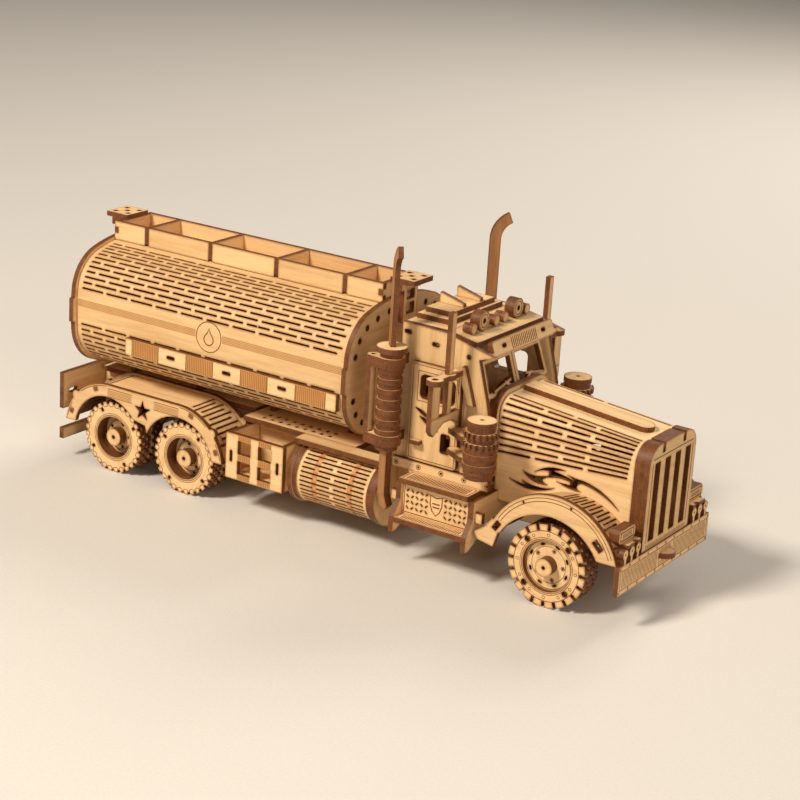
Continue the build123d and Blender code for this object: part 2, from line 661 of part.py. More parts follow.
def hood_formers():
    """Arches inside the hood."""
    half = HOOD_HALF_WIDTH - PLY
    formers = []
    for x in (-22.0, -4.0, 8.0):
        top = hood_top(x + PLY) - PLY * 1.05
        arch = rect(-half, half, 40, top, HOOD_CORNER) + rect(-half, half, DECK_BOTTOM, 52)
        hole = rect(-half + 5, half - 5, DECK_BOTTOM - 2, top - 5, 3.0)
        formers.append(crosswise(arch - hole, x))
    return solids_of(formers)


def hood_strip():
    """Raised strip down the middle of the hood with a round front end."""
    half = 4.0
    rear, front = -32.0, 21.0
    shape = rect(rear, front - half, -half, half) + round_at(front - half, 0, half)
    lift = level(shape, 0)
    return solids_of(Pos(0, 0, hood_top(0)) * Rot(0, HOOD_SLOPE, 0) * lift)


GRILLE_HALF = 18.5
GRILLE_TOP = 64.2
GRILLE_CORNER = 7.4


def grille_outline():
    lower = rect(-GRILLE_HALF, GRILLE_HALF, BUMPER_TOP, 50)
    return rect(-GRILLE_HALF, GRILLE_HALF, 35, GRILLE_TOP, GRILLE_CORNER) + lower


def grille_notches():
    return [rect(side * 8.2 - 1.0, side * 8.2 + 1.0, GRILLE_TOP - 3.6, GRILLE_TOP + 1) for side in (-1, 1)]


def grille_frames():
    """Two open frames between hood and grille plate."""
    shape = grille_outline() - rect(-14.6, 14.6, 27.2, 58.4, 2.0) - grille_notches()
    return solids_of([crosswise(shape, HOOD_FRONT + i * PLY) for i in (0, 1)])


def grille_plate():
    """Front plate with four tall slots."""
    shape = grille_outline() - grille_notches()
    for y in (-12.15, -4.05, 4.05, 12.15):
        shape -= rect(y - 2.05, y + 2.05, 27.8, 57.7)
    return solids_of(crosswise(shape, HOOD_FRONT + 2 * PLY))


HEADLAMP = (-33.4, -21.2, 31.6, 36.8)
FENDER_ARC = (2.6, 16.8, 27.4)        # x, z and radius of the front fender's outer edge
FENDER_OPENING = (0.9, 13.1, 23.0)
FENDER_FALL = 4.0             # how far the bent sheet falls from the outer plate to the hood


def fender_crown(radius):
    return upright(round_at(FENDER_ARC[0], FENDER_ARC[1], radius), -40, 80)


def headlamps():
    """Lens ply and housing ply with cut corners, on a small shelf."""
    y0, y1, z0, z1 = HEADLAMP
    cut = 1.2
    shape = polygon((y0 + cut, z0), (y1 - cut, z0), (y1, z0 + cut), (y1, z1 - cut), (y1 - cut, z1),
                    (y0 + cut, z1), (y0, z1 - cut), (y0, z0 + cut))
    lens = crosswise(shape, HOOD_FRONT + PLY)
    housing = crosswise(shape, HOOD_FRONT) - fender_crown(FENDER_ARC[2] - 0.8)
    shelf = rect(HOOD_FRONT + PLY, BUMPER_BACK + PLY, -31.0, -21.0) - round_at(BUMPER_BACK + PLY, -24.6, 1.3)
    return both_sides(lens, housing, level(shelf, HEADLAMP[2] - 1.2, 1.2))


# ---------------------------------------------------------------- fenders

def front_fender_plates():
    """Outer plates: crescent over the wheel with a pointed tail and nose."""
    cx, cz, radius = FENDER_ARC
    crown = round_at(cx, cz, radius) & rect(-40, 40, 24.5, 60)
    tail = polygon((-22.5, 29.5), (-25.2, 25.6), (-29.9, 22.3), (-28.1, 19.6), (-21.5, 18.4), (-19.0, 27.0))
    nose = polygon((24.0, 33.5), (26.2, 30.9), (30.2, 26.4), (28.9, 23.6), (20.9, 23.6), (20.9, 30.0))
    shape = crown + tail + nose - round_at(*FENDER_OPENING) - rect(BUMPER_BACK, 40, 0, BUMPER_TOP)
    shape -= Pos(21.0, 30.3) * Rot(0, 0, 135) * Rectangle(4.6, 2.6)
    shape -= Pos(-20.6, 26.9) * Rot(0, 0, 57) * Rectangle(4.0, 2.2)
    for turn in (120, 75):
        r = radius - 1.9
        shape -= round_at(cx + r * cos(radians(turn)), cz + r * sin(radians(turn)), 0.45)
    crescent = max(upright(shape, -HALF_TRACK).solids(), key=lambda solid: solid.volume)
    return both_sides(crescent)


def bend_slots(centre, radius, turns, y_inner, y_outer, edge, depth=3 * PLY):
    """Slots across a bent sheet, each reaching nearer to one long edge than to the other, by turns."""
    cx, cz = centre
    near, far = 0.4 * edge, 1.4 * edge
    cutters = []
    for i, turn in enumerate(turns):
        x, z = cx + radius * cos(radians(turn)), cz + radius * sin(radians(turn))
        start, end = (y_inner + near, y_outer - far) if i % 2 else (y_inner + far, y_outer - near)
        where = Plane(origin=(x, -(start + end) / 2, z), x_dir=(0, 1, 0),
                      z_dir=(cos(radians(turn)), 0, sin(radians(turn))))
        cutters.append(where * Box(end - start, KERF, depth))
    return cutters


def fender_band(centre_z, outer, y):
    """Section of a front fender's sheet at y."""
    cx = FENDER_ARC[0]
    band = round_at(cx, centre_z, outer) - round_at(cx, centre_z, outer - PLY)
    return Plane(origin=(0, y, 0), x_dir=(1, 0, 0), z_dir=(0, -1, 0)) * (band & rect(-40, 40, 24.6, 60))


def front_fender_skins():
    """Bent sheets that fall from the outer plate to the hood's flank."""
    cx, cz, radius = FENDER_ARC
    outer = radius - 0.8
    y0, y1 = HOOD_HALF_WIDTH, HALF_TRACK - PLY
    skin = loft([fender_band(cz, outer, -y1), fender_band(cz - FENDER_FALL, radius, -y0)], ruled=True)
    turns = [25 + 3.8 * i for i in range(18)]
    middle = (cx, cz - FENDER_FALL / 2)
    cutters = bend_slots(middle, outer - PLY / 2, turns, y0, y1, 2.4, 14.0)
    grille_side = crosswise(rect(-GRILLE_HALF, GRILLE_HALF, 20, 60), HOOD_FRONT, 3 * PLY)
    return both_sides(skin - cutters - grille_side)


REAR_FENDER_Z = 15.0
REAR_FENDER_CENTRES = (-207.0, -169.8)
REAR_FENDER_OUTER = 22.7
REAR_FENDER_ARCH = 17.6
REAR_SKIN = 20.7                     # radius of the middle of the bent sheet
FENDER_TAB_TURNS = (108, 159)


def tandem_outline(radius):
    """Outline over both rear wheels: two arcs joined by a level top."""
    x0, x1 = REAR_FENDER_CENTRES
    top = REAR_FENDER_Z + radius
    return round_at(x0, REAR_FENDER_Z, radius) + round_at(x1, REAR_FENDER_Z, radius) + rect(x0, x1, 0, top)


def fender_tabs(grow=0.0):
    """The sheet's tabs that show through the outer plate."""
    tabs = []
    for x, flip in zip(REAR_FENDER_CENTRES, (1, -1)):
        for turn in FENDER_TAB_TURNS:
            angle = turn if flip == 1 else 180 - turn
            where = Pos(x + REAR_SKIN * cos(radians(angle)), REAR_FENDER_Z + REAR_SKIN * sin(radians(angle)))
            tabs.append(where * Rot(0, 0, angle) * Rectangle(PLY - 0.2, 2.2))
    return tabs


def star(x, z, radius):
    points = []
    for i in range(10):
        r = radius if i % 2 == 0 else 0.4 * radius
        turn = pi / 2 + i * pi / 5
        points.append((x + r * cos(turn), z + r * sin(turn)))
    return polygon(*points)


def rear_fender_plates():
    """Outer plates with star and tab slots, and plain inner plates."""
    x0, x1 = REAR_FENDER_CENTRES
    middle = (x0 + x1) / 2
    shape = tandem_outline(REAR_FENDER_OUTER)
    for x, angle in ((x0, 139), (x1, 41)):
        bump = REAR_FENDER_OUTER - 0.2
        shape += round_at(x + bump * cos(radians(angle)), REAR_FENDER_Z + bump * sin(radians(angle)), 1.9)
    shape &= rect(x0 - 30, x1 + 30, 18.2, 60)
    shape -= [round_at(x, REAR_FENDER_Z, REAR_FENDER_ARCH) for x in (x0, x1)]
    shape -= polygon((middle - 6, 10), (middle - 4.2, 26.0), (middle + 1.5, 25.0), (middle + 6, 10))
    inner = upright(shape, -16.0)
    outer = upright(shape - star(middle, 31.0, 4.3) - fender_tabs(), -HALF_TRACK)
    return both_sides(outer, inner)


def rear_fender_skins():
    """Bent sheets between the inner and outer plates, slotted where they bend."""
    band = tandem_outline(REAR_SKIN + PLY / 2) - tandem_outline(REAR_SKIN - PLY / 2)
    x0, x1 = REAR_FENDER_CENTRES
    band &= rect(x0 - 30, x1 + 30, 19.4, 60)
    y0, y1 = 16.0, HALF_TRACK - PLY
    skin = upright(band, -y1, y1 - y0)
    front = [26 + 6.2 * i for i in range(10)]
    cutters = bend_slots((x1, REAR_FENDER_Z), REAR_SKIN, front, y0, y1, 2.2)
    cutters += bend_slots((x0, REAR_FENDER_Z), REAR_SKIN, [180 - turn for turn in front], y0, y1, 2.2)
    tabs = [upright(tab, -HALF_TRACK, PLY) for tab in fender_tabs()]
    body = skin - cutters
    for tab in tabs:
        body += tab
    return both_sides(body)


# ---------------------------------------------------------------- side boxes, drums and steps

RACK = (-145.3, -117.4, 13.9, 32.7)


def rack_fronts():
    """Lattice fronts with four square windows and an upright slot at each end."""
    x0, x1, z0, z1 = RACK
    shape = rect(*RACK)
    for x in (x0 + 5.8, x1 - 12.1):
        for z in (z0 + 2.4, z0 + 10.8):
            shape -= rect(x, x + 6.3, z, z + 5.6)
    shape -= [slot_at(x, (z0 + z1) / 2, 5.0, 1.3, 90) for x in (x0 + 2.6, x1 - 2.6)]
    return both_sides(upright(shape, -HALF_TRACK))


def rack_boxes():
    """Ends, back and bottom behind the lattice; the top is open."""
    x0, x1, z0, z1 = RACK
    front = -HALF_TRACK + PLY
    back = -15.0
    ends = [crosswise(rect(front, back, z0, z1), x) for x in (x0, x1 - PLY)]
    rear = upright(rect(x0 + PLY, x1 - PLY, z0, z1), back - PLY)
    bottom = level(rect(x0 + PLY, x1 - PLY, front, back - PLY), z0)
    return both_sides(ends, rear, bottom)


DRUM_X = (-115.2, -74.4)
DRUM_CENTRE = (-23.4, 21.4)
DRUM_FLANGE = 12.6
DRUM_SKIN = 11.7


def drum_discs():
    """Two flange plies at each end of each drum, and the discs inside that keep its sheet round."""
    ring = round_at(*DRUM_CENTRE, DRUM_FLANGE)
    edge = round_at(*DRUM_CENTRE, DRUM_FLANGE - 0.5)
    plies = [crosswise(ring, DRUM_X[0]), crosswise(edge, DRUM_X[0] + PLY),
             crosswise(edge, DRUM_X[1] - 2 * PLY), crosswise(ring, DRUM_X[1] - PLY)]
    core = round_at(*DRUM_CENTRE, DRUM_SKIN - PLY) - round_at(*DRUM_CENTRE, 3)
    return both_sides(plies, [crosswise(core, x) for x in (-102.0, -90.0)])


def drum_skins():
    """Slotted sheets rolled into cylinders."""
    x0, x1 = DRUM_X[0] + 2 * PLY, DRUM_X[1] - 2 * PLY
    tube = round_at(*DRUM_CENTRE, DRUM_SKIN) - round_at(*DRUM_CENTRE, DRUM_SKIN - PLY)
    skin = crosswise(tube, x0, x1 - x0)
    rows = 40
    cutters = []
    for i in range(rows):
        turn = 2 * pi * i / rows
        y = DRUM_CENTRE[0] + (DRUM_SKIN - PLY / 2) * cos(turn)
        z = DRUM_CENTRE[1] + (DRUM_SKIN - PLY / 2) * sin(turn)
        for low, high in slot_row(x0 + 1.5, x1 - 1.5, 15.8, 1.9, i % 2 == 1):
            where = Plane(origin=((low + high) / 2, y, z), x_dir=(1, 0, 0), z_dir=(0, cos(turn), sin(turn)))
            cutters.append(where * Box(high - low, 0.6, 2 * PLY))
    return both_sides(skin - cutters)


STEP_X = (-63.0, -33.0)
STEP_LOW = 20.0                # top faces of the two treads
STEP_HIGH = 35.0
PANEL_FACE = 34.0


def step_treads():
    x0, x1 = STEP_X
    upper = level(rect(x0, x1, -37.0, -RAIL_OUTER), STEP_HIGH - PLY)
    lower = level(rect(x0, x1, -39.6, -29.0), STEP_LOW - PLY)
    return both_sides(upper, lower)


def step_panels():
    """Panels between the treads, pierced with a trellis of small slots, with a tab at each end."""
    x0, x1 = STEP_X
    z0, z1 = STEP_LOW, STEP_HIGH - PLY
    shape = rect(x0, x1, z0, z1) + rect(x0 - 5, x1 + 5, 24.6, 28.4)
    mid = (x0 + x1) / 2
    cuts = []
    for i in range(13):
        for j in range(4):
            x, z = x0 + 2.4 + 2.1 * i, z0 + 2.9 + 2.3 * j
            if abs(x - mid) > 3.4:
                cuts.append(slot_at(x, z, 1.5, 0.5, 45 if (i + j) % 2 else -45))
    shape -= cuts
    return both_sides(upright(shape, -PANEL_FACE))


def step_brackets():
    """Hangers at both ends of the steps, with a toe under the lower tread."""
    shape = polygon((-RAIL_OUTER, 22), (-RAIL_OUTER, HOOD_BOTTOM), (-HOOD_HALF_WIDTH, HOOD_BOTTOM),
                    (-HOOD_HALF_WIDTH, 33), (-35.4, 33), (-35.4, 26), (-39.6, 20), (-39.6, 14),
                    (-37.2, 14), (-30, 18), (-26, 22))
    shape -= rect(-PANEL_FACE, -PANEL_FACE + PLY, 24.6, 28.4)
    x0, x1 = STEP_X
    return both_sides([crosswise(shape, x) for x in (x0 - PLY, x1)])


# ---------------------------------------------------------------- stacks, air cleaners and mirrors

CLEANER = (-30.1, -35.5)
CLEANER_TOP = 65.2
CLEANER_PLIES = (5.5, 5.2, 6.6, 5.3, 6.6, 6.0, 6.3, 6.0, 6.4, 5.8, 5.4)
CLEANER_TOOTHED = (2, 4)
CLEANER_ARMS = (4, 8)


def air_cleaners():
    """Stacks of eleven discs, two of them toothed, each held by two arms from the cab wall."""
    discs = []
    for i, radius in enumerate(CLEANER_PLIES):
        shape = Circle(radius)
        if i in CLEANER_TOOTHED:
            shape = toothed(radius, 18, 0.9, 1.1, 0.5 if i == CLEANER_TOOTHED[1] else 0)
        if i < 2:
            shape -= Circle(0.7)
        discs.append(level(Pos(*CLEANER) * shape, CLEANER_TOP - (i + 1) * PLY))
    arms = []
    for i in CLEANER_ARMS:
        shape = polygon((-46.6, -28), (-46.6, -31.5), (-38, -36.5), (-30, -36.5), (-30, -30.5), (-34.0, -28))
        shape -= Pos(*CLEANER) * Circle(CLEANER_PLIES[i])
        arms.append(level(shape, CLEANER_TOP - (i + 1) * PLY))
    return both_sides(discs, [max(arm.solids(), key=lambda solid: solid.volume) for arm in arms])


STACK = (-71.2, -34.6)
MUFFLER_TOP = 84.0
MUFFLER_FOOT = 44.0
COLLARS = (76.0, 46.0)               # undersides of the upper and lower pair of collar plies


def mufflers():
    """Stacks of discs in two sizes under a wider top disc."""
    discs = [level(round_at(*STACK, 5.8), MUFFLER_TOP - PLY)]
    count = int((MUFFLER_TOP - PLY - MUFFLER_FOOT) / PLY)
    for i in range(count):
        z = MUFFLER_FOOT + i * PLY
        if any(low <= z < low + 2 * PLY for low in COLLARS):
            continue
        discs.append(level(round_at(*STACK, 4.8 if i % 2 else 4.3), z))
    return both_sides(discs)


def muffler_brackets():
    """Eared plies that tie each muffler to the cab wall, and the guard strips between their ears."""
    x, y = STACK
    ear = round_at(x - 6.6, y - 2.2, 2.3) - round_at(x - 6.6, y - 2.2, 0.8)
    web = polygon((x - 6.6, y - 4.4), (x, y - 5.4), (x, y + 5.4), (x - 6.6, y + 0.1))
    hole = round_at(x - 6.6, y - 2.2, 0.8)
    arm = rect(x - 1.2, x + 2.2, y, -CAB_SIDE)
    shape = round_at(x, y, 5.4) + ear + web - hole + arm
    collars = [level(shape, low + i * PLY) for low in COLLARS for i in (0, 1)]
    low, high = COLLARS[1] + 2 * PLY, COLLARS[0]
    guard = crosswise(rect(y - 4.2, y - 0.6, low, high), x - 8.2)
    return both_sides(collars, guard)


def exhaust_pipes():
    """Two-ply pipes under the mufflers; one-ply stacks above, curved tips turned outward and forward."""
    width, top = 4.2, 121.5
    turn = 45.0
    bend = 7.0
    knee = top - 9.0
    shape = rect(-width / 2, width / 2, MUFFLER_TOP, knee)
    ring = round_at(bend + width / 2, knee, bend + width) - round_at(bend + width / 2, knee, bend)
    shape += ring & polygon((bend + width / 2, knee), (-12, knee), (-12, knee + 14), (bend - 3.5, knee + 14))
    x, y = STACK
    stack = Pos(x, y, 0) * Rot(0, 0, -turn) * upright(shape, -PLY / 2)
    pipe = rect(x - 1.5, x + 1.5, 26.0, MUFFLER_FOOT)
    pipe += polygon((x - 1.5, 26.0), (x + 1.5, 26.0), (x + 3.0, 21.6), (x + 2.0, 20.2), (x - 0.4, 21.8))
    pipes = [upright(pipe, y + i * PLY) for i in (-1, 0)]
    return both_sides(stack, pipes)


MIRROR_X = -46.8
STICK_Y = (-36.4, -33.6)


def mirror_sticks():
    """Tall flat sticks that the mirrors hang on."""
    return both_sides(crosswise(rect(*STICK_Y, 64.0, 102.2), MIRROR_X))


def mirror_brackets():
    """Lower brackets from door to mirror, and the eyed plies above that tie stick and mirror to the cab."""
    shape = polygon((-28, 58.5), (-28, 64), (-46.8, 64), (-46.8, 59.5), (-44.6, 57.2), (-42.4, 58.8),
                    (-38, 61), (-33, 61))
    eye = round_at(MIRROR_X + 1, -44.2, 3.2) + rect(MIRROR_X - 0.8, MIRROR_X + 2.8, -44, -CAB_SIDE - PLY)
    eye += round_at(MIRROR_X + 1, -35, 2.8)
    eye -= [rect(MIRROR_X, MIRROR_X + PLY, *STICK_Y), round_at(MIRROR_X + 1, -44.2, 1.1)]
    return both_sides(crosswise(shape, MIRROR_X), level(eye, 77.0))


def mirror_plates():
    return both_sides(crosswise(rect(-46.8, -41.6, 64.0, 77.0), MIRROR_X))


# ---------------------------------------------------------------- assembly

def all_nodes():
    nodes = {}
    axles = (("front", front_axle()),
             ("middle", rear_axle(MIDDLE_AXLE, 24)),
             ("rear", rear_axle(REAR_AXLE, 0)))
    for name, pieces in axles:
        for kind, solids in zip(("axle_dowel", "tyre_plies", "wheel_rims"), pieces):
            nodes[f"{name}_{kind}"] = solids
    nodes["tank_front_disc"] = tank_disc(TANK_FRONT)
    nodes["tank_rear_disc"] = tank_disc(TANK_REAR - PLY)
    builders = (chassis_rails, cross_members, deck_plates, bumper, tow_hook, signal_posts, tail_boards,
                tank_skin, tank_formers, tank_side_panels, walkway_rails, walkway_walls, walkway_landings,
                cab_sides, cab_doors, cab_trim, cab_rear, cab_floor, cab_front,
                cab_roof, roof_boards, roof_lamps, windshields, sun_visor, cab_fittings, hood_skin,
                hood_formers, hood_strip, grille_frames, grille_plate, headlamps, front_fender_plates,
                front_fender_skins, rear_fender_plates, rear_fender_skins, rack_fronts, rack_boxes,
                drum_discs, drum_skins, step_treads, step_panels, step_brackets, air_cleaners, mufflers,
                muffler_brackets, exhaust_pipes, mirror_sticks, mirror_brackets, mirror_plates)
    for build in builders:
        nodes[build.__name__] = build()
    return nodes


def main():
    nodes = all_nodes()
    box = Compound([solid for solids in nodes.values() for solid in solids]).bounding_box()
    shift = Pos(-(box.min.X + box.max.X) / 2, 0, 0)
    os.makedirs("parts", exist_ok=True)
    for name, solids in nodes.items():
        export_step(shift * Compound(solids), f"parts/{name}.step")
    print("shift along X", shift.position.X)
    print("size", box.size)


main()
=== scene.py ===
"""Wood, engraving, light and camera for the laser-cut plywood tanker truck.

Lengths are in millimetres unless a name ends in _M.  X is measured from the front axle, Y is positive on
the truck's left and Z is the height above the floor; at() turns such a point into metres in the row frame.
"""

import math
import random

import bpy
import numpy as np
from mathutils import Matrix, Vector


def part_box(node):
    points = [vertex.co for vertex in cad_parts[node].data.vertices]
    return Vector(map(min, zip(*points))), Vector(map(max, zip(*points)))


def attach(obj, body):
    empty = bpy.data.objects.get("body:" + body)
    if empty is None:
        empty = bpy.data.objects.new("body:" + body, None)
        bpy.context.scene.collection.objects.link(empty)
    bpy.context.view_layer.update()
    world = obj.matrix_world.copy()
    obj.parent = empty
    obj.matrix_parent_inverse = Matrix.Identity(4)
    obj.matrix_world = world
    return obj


MM = 0.001
SIDES = ((-1, "right"), (1, "left"))

# How the CAD pieces are read
POINTS_PER_MM = 1e4                      # grid on which corners of triangles are taken as one point
SMOOTH_COS = math.cos(math.radians(32))  # triangles that meet at a smaller turn belong to one surface
FLAT_SHARE = 0.985                       # a flat surface's normals add up to this share of its area
FACE_COS = 0.97                          # a triangle turned this far towards the sheet's normal is face
SHEET_SHARE = 0.55                       # a bent sheet's faces are this large beside its largest surface
NEARLY_SQUARE = 0.93                     # a piece with sides this alike has its grain at any angle
GRAIN_SHIFT = 500.0                      # each piece is cut from its own place in the board
TINY = 1e-12                             # stands in for the size of a triangle that has none
# the third slot holds painted shade for the hollow side of bent sheets
FACE_SLOT, EDGE_SLOT, PAINTED_SHADE_SLOT = range(3)
BENT = ("tank_skin", "hood_skin", "front_fender_skins", "rear_fender_skins", "drum_skins")

# Wood; a rate is noise waves per millimetre along the grain, across it and through the sheet
BAND_RATE = (0.035, 0.42, 0.42)
FIBRE_RATE = (0.22, 5.5, 5.5)
PORE_RATE = (0.5, 14.0, 14.0)
STREAK_RATE = (2.6, 2.6, 0.5)
BUMP_STRENGTH = 0.6
RIM_REACH = 0.9                          # how far smoke stains the face beside a cut
RIM_STAIN = 1.8                          # and how strongly
SCORCH_STRENGTH = 0.7
PALE = (0.84, 0.57, 0.295)
PALE_GRAIN = (0.69, 0.42, 0.185)
PORE = (0.80, 0.72, 0.62)
DULL = (0.83, 0.79, 0.74)                # tint of the darkest pieces
BRIGHT = (1.05, 1.05, 1.05)              # and of the lightest
SMOKE = (0.30, 0.125, 0.04)
SCORCH = (0.55, 0.26, 0.085)
PLY_GREYS = ((0.0, 0.55), (0.30, 0.45), (0.36, 0.85), (0.80, 0.35), (0.97, 1.0))

# Where the marks go
LIFT = 0.03                              # how far a burnt mark stands off its surface
SINK = 0.05                              # how far it reaches into the wood
AXLES = (("front_wheels", 0.0, 16.0), ("middle_wheels", -168.2, 15.0), ("rear_wheels", -205.4, 15.0))
HALF_TRACK = 36.0                        # outer faces of the fenders, rack and tool box
TYRE_FACE_Y = 33.8
FRONT_RIM_Y = 31.8
REAR_RIM_Y = 29.8
CAB_SIDE_Y = 28.0
STEP_PANEL_Y = 34.0
BUMPER_X = 30.4
GRILLE_X = 29.8
HEADLAMP_X = 27.8
ROOF_LAMP_X = -45.8
ROOF_LAMP_Y = 12.3
ROOF_LAMP_Z = 94.2
FLANK_RADIUS = 95.0                      # each flank of the tank is an arc of this radius
FLANK_CENTRE_Y = 61.0                    # and its centre lies this far beyond the truck's middle
FLANK_CENTRE_Z = 65.5
DRUM_BELT_STARTS = (-104.2, -87.6)
DRUM_BELT_WIDTH = 2.4

# Room, light and camera
FLOOR_HALF_M = 6.0
FLOOR_DARK = (0.70, 0.66, 0.61)
FLOOR_LIGHT = (0.74, 0.70, 0.65)
LIT_POINT = (-90, 0, 40)
LAMPS = (                                # name, place and diameter in metres, watts, colour
    ("key", (-0.35, -1.05, 1.15), 0.36, 25.0, (1.0, 0.91, 0.78)),
    ("fill", (1.3, -0.7, 0.55), 0.9, 7.0, (1.0, 0.90, 0.78)),
    ("rim", (0.1, 1.2, 0.9), 0.7, 11.0, (1.0, 0.93, 0.84)),
)
SKY = (1.0, 0.93, 0.85, 1.0)
SKY_STRENGTH = 0.17
CAMERA_AT = (326.66, -649.51, 307.18)
CAMERA_AZIMUTH = math.radians(32.583)
CAMERA_ELEVATION = math.radians(18.426)
CAMERA_ROLL = math.radians(3.595)
CAMERA_LENS = 93.66
CAMERA_SENSOR = 36.0
CAMERA_NEAR_M = 0.01

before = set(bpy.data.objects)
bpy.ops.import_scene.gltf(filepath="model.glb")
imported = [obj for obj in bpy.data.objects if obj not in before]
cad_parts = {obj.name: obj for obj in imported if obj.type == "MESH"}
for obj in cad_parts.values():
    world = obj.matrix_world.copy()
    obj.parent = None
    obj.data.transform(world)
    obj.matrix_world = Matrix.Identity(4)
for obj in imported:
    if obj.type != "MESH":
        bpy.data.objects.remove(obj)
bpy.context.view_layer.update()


def middle(node):
    """Middle of a CAD node's box in the row frame, in metres."""
    low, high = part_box(node)
    return (low + high) / 2


AXLE_X_M = middle("front_axle_dowel").x


def at(x, y, z):
    """A point of the truck, in millimetres, as metres in the row frame."""
    return Vector((AXLE_X_M + x * MM, y * MM, z * MM))


# ---------------------------------------------------------------- materials

class Graph:
    """A node material under construction."""

    def __init__(self, name):
        self.material = bpy.data.materials.new(name)
        self.material.use_nodes = True
        self.tree = self.material.node_tree
        self.tree.nodes.clear()

    def fill(self, socket, value):
        """Links a socket to another one, or gives it a value."""
        if isinstance(value, bpy.types.NodeSocket):
            self.tree.links.new(value, socket)
        else:
            socket.default_value = value

    def add(self, kind, inputs=None, **settings):
        node = self.tree.nodes.new("ShaderNode" + kind)
        for key, value in settings.items():
            setattr(node, key, value)
        for key, value in (inputs or {}).items():
            self.fill(node.inputs[key], value)
        return node

    def math(self, operation, a, b=0.0, clamp=False):
        return self.add("Math", {0: a, 1: b}, operation=operation, use_clamp=clamp).outputs[0]

    def weighted(self, a, a_share, b, b_share):
        return self.math("ADD", self.math("MULTIPLY", a, a_share), self.math("MULTIPLY", b, b_share))

    def ramp(self, factor, stops):
        node = self.add("ValToRGB", {"Fac": factor})
        elements = node.color_ramp.elements
        while len(elements) < len(stops):
            elements.new(0.5)
        for element, (place, colour) in zip(elements, stops):
            element.position = place
            element.color = (*colour, 1.0)
        return node.outputs["Color"]

    def noise(self, vector, scale=1.0, detail=4.0, roughness=0.55):
        inputs = {"Vector": vector, "Scale": scale, "Detail": detail, "Roughness": roughness}
        return self.add("TexNoise", inputs).outputs["Fac"]

    def mix(self, factor, a, b, blend="MIX"):
        """Mixes colour a, which is a socket, with b, which is a socket or three numbers."""
        node = self.add("Mix", {"Factor": factor}, data_type="RGBA", blend_type=blend)
        from_a, from_b = [socket for socket in node.inputs if socket.type == "RGBA"]
        self.fill(from_a, a)
        self.fill(from_b, b if isinstance(b, bpy.types.NodeSocket) else (*b, 1.0))
        return [socket for socket in node.outputs if socket.type == "RGBA"][0]

    def stretched(self, vector, scale):
        return self.add("VectorMath", {0: vector, 1: scale}, operation="MULTIPLY").outputs[0]

    def finish(self, colour, height, distance, roughness, specular=0.25):
        """Closes the graph; height is the relief's socket and distance its depth in metres."""
        bump = self.add("Bump", {"Height": height, "Strength": BUMP_STRENGTH, "Distance": distance})
        shader = self.add("BsdfPrincipled", {"Base Color": colour, "Roughness": roughness,
                                             "Specular IOR Level": specular, "Normal": bump.outputs[0]})
        output = self.add("OutputMaterial")
        self.tree.links.new(shader.outputs[0], output.inputs["Surface"])
        return self.material


def wood_face(name, light, dark, belts=()):
    """Planed birch: long soft bands, fine fibres, a tone of its own on each piece, smoke-stained rims.

    belts are (start, end) stretches of X, in metres, that the laser has scorched.
    """
    g = Graph(name)
    ply = g.add("Attribute", attribute_name="ply").outputs["Vector"]
    tone = g.add("Attribute", attribute_name="tone").outputs["Fac"]
    bands = g.noise(g.stretched(ply, BAND_RATE), detail=3.0, roughness=0.5)
    fibres = g.noise(g.stretched(ply, FIBRE_RATE), detail=5.0, roughness=0.65)
    figure = g.weighted(bands, 0.62, fibres, 0.38)
    gleam = [min(1.0, channel * 1.10) for channel in light]
    colour = g.ramp(figure, [(0.30, dark), (0.52, light), (0.74, gleam)])
    shade = g.ramp(tone, [(0.0, DULL), (1.0, BRIGHT)])
    colour = g.mix(1.0, colour, shade, "MULTIPLY")
    specks = g.noise(g.stretched(ply, PORE_RATE), detail=2.0)
    pores = g.ramp(specks, [(0.60, (1, 1, 1)), (0.74, PORE)])
    colour = g.mix(0.8, colour, pores, "MULTIPLY")
    for start, end in belts:
        x = g.add("SeparateXYZ", {0: g.add("TexCoord").outputs["Object"]}).outputs["X"]
        off = g.math("ABSOLUTE", g.math("SUBTRACT", x, (start + end) / 2))
        inside = g.math("MULTIPLY", g.math("LESS_THAN", off, (end - start) / 2), SCORCH_STRENGTH)
        colour = g.mix(inside, colour, SCORCH, "MULTIPLY")
    rim = g.add("AmbientOcclusion", {"Distance": RIM_REACH * MM}, inside=True, only_local=True, samples=6)
    burnt = g.math("MULTIPLY", g.math("SUBTRACT", 1.0, rim.outputs["AO"]), RIM_STAIN, clamp=True)
    smoke = g.math("MULTIPLY", burnt, g.math("ADD", g.noise(ply, scale=0.9), 0.35), clamp=True)
    colour = g.mix(smoke, colour, SMOKE)
    return g.finish(colour, fibres, 0.06 * MM, roughness=0.62)


def wood_edge(name, char, ember):
    """Laser-cut edge: charred brown across three plies, with streaks square to the sheet."""
    g = Graph(name)
    ply = g.add("Attribute", attribute_name="ply").outputs["Vector"]
    depth = g.math("ABSOLUTE", g.add("SeparateXYZ", {0: ply}).outputs["Z"])
    layers = g.ramp(depth, [(place, (grey,) * 3) for place, grey in PLY_GREYS])
    streaks = g.noise(g.stretched(ply, STREAK_RATE), detail=4.0, roughness=0.6)
    patches = g.noise(ply, scale=0.22, detail=3.0)
    amount = g.weighted(layers, 0.42, streaks, 0.55)
    amount = g.math("MULTIPLY", amount, g.math("ADD", patches, 0.45))
    colour = g.ramp(amount, [(0.18, char), (0.75, ember)])
    return g.finish(colour, streaks, 0.08 * MM, roughness=0.5, specular=0.35)


